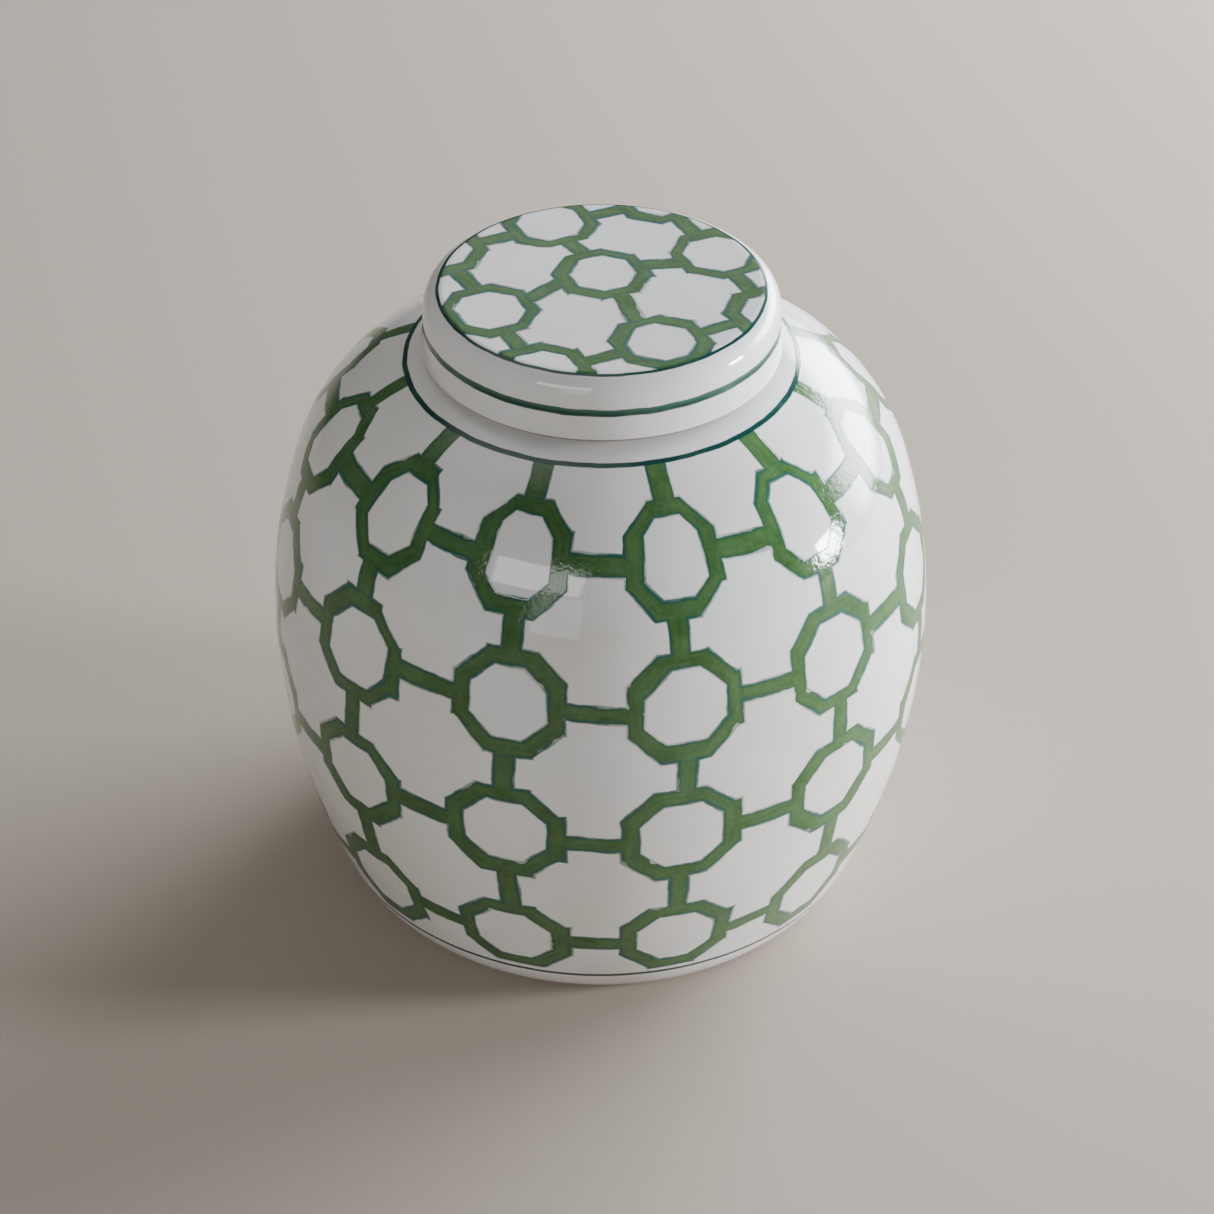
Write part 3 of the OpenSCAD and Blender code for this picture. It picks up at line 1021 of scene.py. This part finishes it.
def jar_finish():
    """The finish of the jar, from the white ground up."""
    material, tree = empty_material("painted_porcelain_jar")
    place = place_in_mm(tree)
    edges, down = jar_trellis(tree, place)
    below_line = add(tree, "Math", [down, 0.0], operation="GREATER_THAN")
    above_foot = add(tree, "Math", [down, FOOT_LINE_DOWN], operation="LESS_THAN")
    shown = add(tree, "Math", [below_line, above_foot], operation="MULTIPLY")
    colour, thickness = painted_trellis(tree, edges, place, shown, white_ground(tree, place))
    colour, top_line = painted_line(tree, down, SHOULDER_LINE, place, colour)
    to_foot = add(tree, "Math", [down, FOOT_LINE_DOWN], operation="SUBTRACT")
    colour, foot_line = painted_line(tree, to_foot, FOOT_LINE, place, colour)
    lines = add(tree, "Math", [top_line, foot_line], operation="MAXIMUM")
    thickness = add(tree, "Math", [thickness, lines], operation="MAXIMUM")

    wiped = mottle(tree, place, 6.0, (0, 1), (-0.2, 0.2))
    height = add(tree, "Math", [add(tree, "SeparateXYZ", [place], out="Z"), wiped], operation="ADD")
    bare_from = jar_highest.z / MM - BARE_RIM
    bare_foot = soft_edge(tree, height, BARE_FOOT + WIPED_EDGE, BARE_FOOT - WIPED_EDGE)
    bare_rim = soft_edge(tree, height, bare_from - WIPED_EDGE, bare_from + WIPED_EDGE)
    bare = add(tree, "Math", [bare_foot, bare_rim], operation="ADD")
    glazed(tree, colour, thickness, place, bare)
    return material


jar.data.materials.append(jar_finish())
print("nodes in the jar's finish:", len(jar.data.materials[0].node_tree.nodes))

# %% [markdown]
# ## The trellis on the lid
#
# The painter fitted the lid's square grid to the round top by eye: one ring was set near the middle, a
# little behind it, and its neighbours were spaced out from the rim. So the middle of the grid is pushed
# back a few millimetres, and the push dies away before the next rings.

# %% From the lid's map to its trellis
LID_RING = {"half": 14.0, "hole": 9.7, "spur": 0.6, "bar": 2.65}
LID_PITCH = 37.6
LID_GRID_TURN = math.radians(26)
LID_CENTRE = (0.8, 2.6, 0)
LID_PUSH = (-0.4, 4.0, 0)
LID_PUSH_FROM = 14.5
LID_PUSH_TO = 25.0
LID_LOOSE = 0.8
MM_PER_DECIMETRE = 100.0


def lid_trellis(tree):
    """The edges of the trellis on the lid, and the distance in mm out from its centre, over the edge."""
    grid = add(tree, "UVMap", uv_map="Paint")
    unrolled = add(tree, "VectorMath", {"Vector": grid, "Scale": MM_PER_DECIMETRE}, operation="SCALE")
    out = add(tree, "VectorMath", [unrolled], out="Value", operation="LENGTH")
    centred = add(tree, "VectorMath", [unrolled, LID_CENTRE], operation="SUBTRACT")
    from_ring = add(tree, "VectorMath", [centred, LID_PUSH], out="Value", operation="DISTANCE")
    push = add(tree, "MapRange", {"Value": from_ring, "From Min": LID_PUSH_TO, "From Max": LID_PUSH_FROM})
    pushed = add(tree, "VectorMath", {0: LID_PUSH, "Scale": push}, operation="SCALE")
    centred = add(tree, "VectorMath", [centred, pushed], operation="SUBTRACT")
    squared = add(tree, "VectorRotate", {"Vector": centred, "Angle": -LID_GRID_TURN}, rotation_type="Z_AXIS")
    steps = add(tree, "VectorMath", {"Vector": squared, "Scale": 1 / LID_PITCH}, operation="SCALE")
    half_on = add(tree, "VectorMath", [steps, (0.5, 0.5, 0.5)], operation="ADD")
    cell = add(tree, "VectorMath", [half_on], operation="FLOOR")
    middle = add(tree, "VectorMath", {"Vector": cell, "Scale": LID_PITCH}, operation="SCALE")
    local = add(tree, "VectorMath", [squared, middle], operation="SUBTRACT")
    return trellis(tree, cell, local, (LID_PITCH, LID_PITCH, 0), LID_RING, LID_LOOSE, salt=50), out


# %% [markdown]
# ## The lid's finish: painted, glazed porcelain
#
# A fine circle closes the trellis just inside the lid's rounded edge, and one broader line runs round the
# side. That line is thinner in colour along its upper side, where a round brush lets go of less paint.

# %% Paint and glaze the lid
LID_CIRCLE_OUT = 49.0
LID_CIRCLE = 0.5
SIDE_LINE_OUT = 61.0
SIDE_LINE = 1.1
BARE_LIP = 0.8


def lid_finish():
    """The finish of the lid, from the white ground up."""
    material, tree = empty_material("painted_porcelain_lid")
    place = place_in_mm(tree)
    edges, out = lid_trellis(tree)
    shown = add(tree, "Math", [out, LID_CIRCLE_OUT], operation="LESS_THAN")
    colour, thickness = painted_trellis(tree, edges, place, shown, white_ground(tree, place))
    to_circle = add(tree, "Math", [out, LID_CIRCLE_OUT], operation="SUBTRACT")
    colour, circle = painted_line(tree, to_circle, LID_CIRCLE, place, colour)
    to_line = add(tree, "Math", [out, SIDE_LINE_OUT], operation="SUBTRACT")
    colour, side_line = painted_line(tree, to_line, SIDE_LINE, place, colour, thin_share=0.45)
    lines = add(tree, "Math", [circle, side_line], operation="MAXIMUM")
    thickness = add(tree, "Math", [thickness, lines], operation="MAXIMUM")
    height = add(tree, "SeparateXYZ", [place], out="Z")
    bare_to = lid_lowest.z / MM + BARE_LIP
    bare = soft_edge(tree, height, bare_to + WIPED_EDGE, bare_to - WIPED_EDGE)
    # The bare lip gets the dark clay colour of painted shade, in place of the shadow in the gap under the
    # lid.
    glazed(tree, colour, thickness, place, bare, clay=LIP_CLAY_PAINTED_SHADE)
    return material


lid.data.materials.append(lid_finish())
print("nodes in the lid's finish:", len(lid.data.materials[0].node_tree.nodes))

# %% [markdown]
# ## Each piece rides on its body
#
# The visual jar and lid stand for the two CAD pieces. They ride on the same bodies, so the lid lifts off
# with its joint.

# %% Join the pieces to the frame
for piece, body, node in ((jar, "jar", "jar_body"), (lid, "lid", "lid")):
    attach(piece, body)
    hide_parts(node)
    print(piece.name, "rides on", body, "and stands for", node)

# %% [markdown]
# ## The floor
#
# The jar stands on a plain pale floor, matt like a studio's painted board. It is so large that it fills the
# camera's view behind the jar. It is warm in tone, and a little of its colour is thrown back on the foot.

# %% Floor
FLOOR_SIZE = 40
FLOOR_COLOUR = "#a89d8f"


def floor_finish():
    """Matt pale paint."""
    material, tree = empty_material("pale_floor")
    shader = add(tree, "BsdfPrincipled", {"Base Color": from_hex(FLOOR_COLOUR), "Roughness": 0.85})
    tree.links.new(shader, tree.nodes["Material Output"].inputs["Surface"])
    return material


bpy.ops.mesh.primitive_plane_add(size=FLOOR_SIZE)
floor = bpy.context.object
floor.name = "floor"
floor.data.materials.append(floor_finish())
print("floor:", FLOOR_SIZE, "m across")

# %% [markdown]
# ## Light
#
# Glaze is shown by what it reflects, so the light is the last part of the finish. A wide window behind on
# the right gives the bright flank, and one brighter pane beside the jar gives the sharp spot on the
# shoulder. Two weak panes in front, a little to the left, give the pale patches beside the middle. A weak
# window behind and a wide soft light above fill the lid and the left side, and the pale surroundings do the
# rest. A real window or softbox is brightest in its middle, so each light fades towards its edges. The fade
# is made in the light's own nodes.

# %% Light
SURROUNDINGS = "#e0e0de"
SURROUNDINGS_STRENGTH = 0.13
DAYLIGHT = "#f3f7ff"

world = bpy.data.worlds.new("studio")
world.use_nodes = True
world.node_tree.nodes["Background"].inputs["Color"].default_value = from_hex(SURROUNDINGS)
world.node_tree.nodes["Background"].inputs["Strength"].default_value = SURROUNDINGS_STRENGTH
bpy.context.scene.world = world

jar_middle = Vector((0, 0, lid_highest.z / 2))


def window(name, turn, rise, distance, size, power, fade=0.5, colour="#ffffff"):
    """A soft rectangular light. turn and rise are its direction from the jar in degrees, turn being from
    the front to the right. fade is the share of its half-width over which it goes dark at the edges."""
    light = bpy.data.lights.new(name, "AREA")
    light.shape = "RECTANGLE"
    light.size, light.size_y = size
    light.energy = power
    light.color = from_hex(colour)[:3]
    light.use_nodes = True
    tree = light.node_tree
    pane = add(tree, "NewGeometry", out="Parametric")
    centred = add(tree, "VectorMath", [pane, (0.5, 0.5, 0)], operation="SUBTRACT")
    from_centre = add(tree, "VectorMath", [centred], operation="ABSOLUTE")
    across, up, _ = add(tree, "SeparateXYZ", [from_centre], out=None)
    fade_from = 0.5 * (1 - fade)
    lit_across = soft_edge(tree, across, 0.5, fade_from)
    lit_up = soft_edge(tree, up, 0.5, fade_from)
    glow = add(tree, "Math", [lit_across, lit_up], operation="MULTIPLY")
    tree.links.new(glow, tree.nodes["Emission"].inputs["Strength"])
    turn, rise = math.radians(turn), math.radians(rise)
    way = Vector((math.sin(turn) * math.cos(rise), -math.cos(turn) * math.cos(rise), math.sin(rise)))
    lamp = bpy.data.objects.new(name, light)
    lamp.location = jar_middle + way * distance
    lamp.rotation_euler = (-way).to_track_quat("-Z", "Y").to_euler()
    lamp.visible_camera = False
    bpy.context.scene.collection.objects.link(lamp)
    print(name, "at", [round(v, 2) for v in lamp.location], "m,", power, "W")


window("window_right", turn=132, rise=14, distance=1.9, size=(2.4, 1.1), power=300, fade=0.6, colour=DAYLIGHT)
window("bright_pane", turn=87, rise=8, distance=1.9, size=(0.42, 0.4), power=90, fade=0.3, colour=DAYLIGHT)
window("window_behind", turn=172, rise=31, distance=2.0, size=(1.7, 0.9), power=2.8, fade=0.4)
window("upper_pane_left", turn=-24, rise=33, distance=2.0, size=(1.1, 0.52), power=10.5, fade=0.1)
window("lower_pane_left", turn=-15, rise=13, distance=2.0, size=(0.6, 0.8), power=3, fade=0.1)
window("ceiling", turn=-140, rise=68, distance=2.0, size=(1.8, 1.8), power=11, fade=0.8)

# %% [markdown]
# ## Camera
#
# The camera stands in front of the jar and looks down on it, from a little more than a metre away, as a
# person does who stands at the table. A long lens keeps the belly from bulging.

# %% Camera
CAMERA_OUT = 0.81964
CAMERA_UP = 0.70203
CAMERA_DOWN_ANGLE = math.radians(36.698)
CAMERA_PAN = math.radians(0.146)
CAMERA_ROLL = math.radians(0.394)
LENS = 94.9
SENSOR_WIDTH = 36

camera_data = bpy.data.cameras.new("camera")
camera_data.lens = LENS
camera_data.sensor_width = SENSOR_WIDTH
camera = bpy.data.objects.new("camera", camera_data)
bpy.context.scene.collection.objects.link(camera)
aim = Matrix.Rotation(-CAMERA_PAN, 3, "Z") @ Matrix.Rotation(math.pi / 2 - CAMERA_DOWN_ANGLE, 3, "X")
aim = aim @ Matrix.Rotation(CAMERA_ROLL, 3, "Z")
camera.location = (0, -CAMERA_OUT, CAMERA_UP)
camera.rotation_euler = aim.to_euler()
bpy.context.scene.camera = camera
print("camera", round(math.hypot(CAMERA_OUT, CAMERA_UP), 2), "m from the foot of the jar")
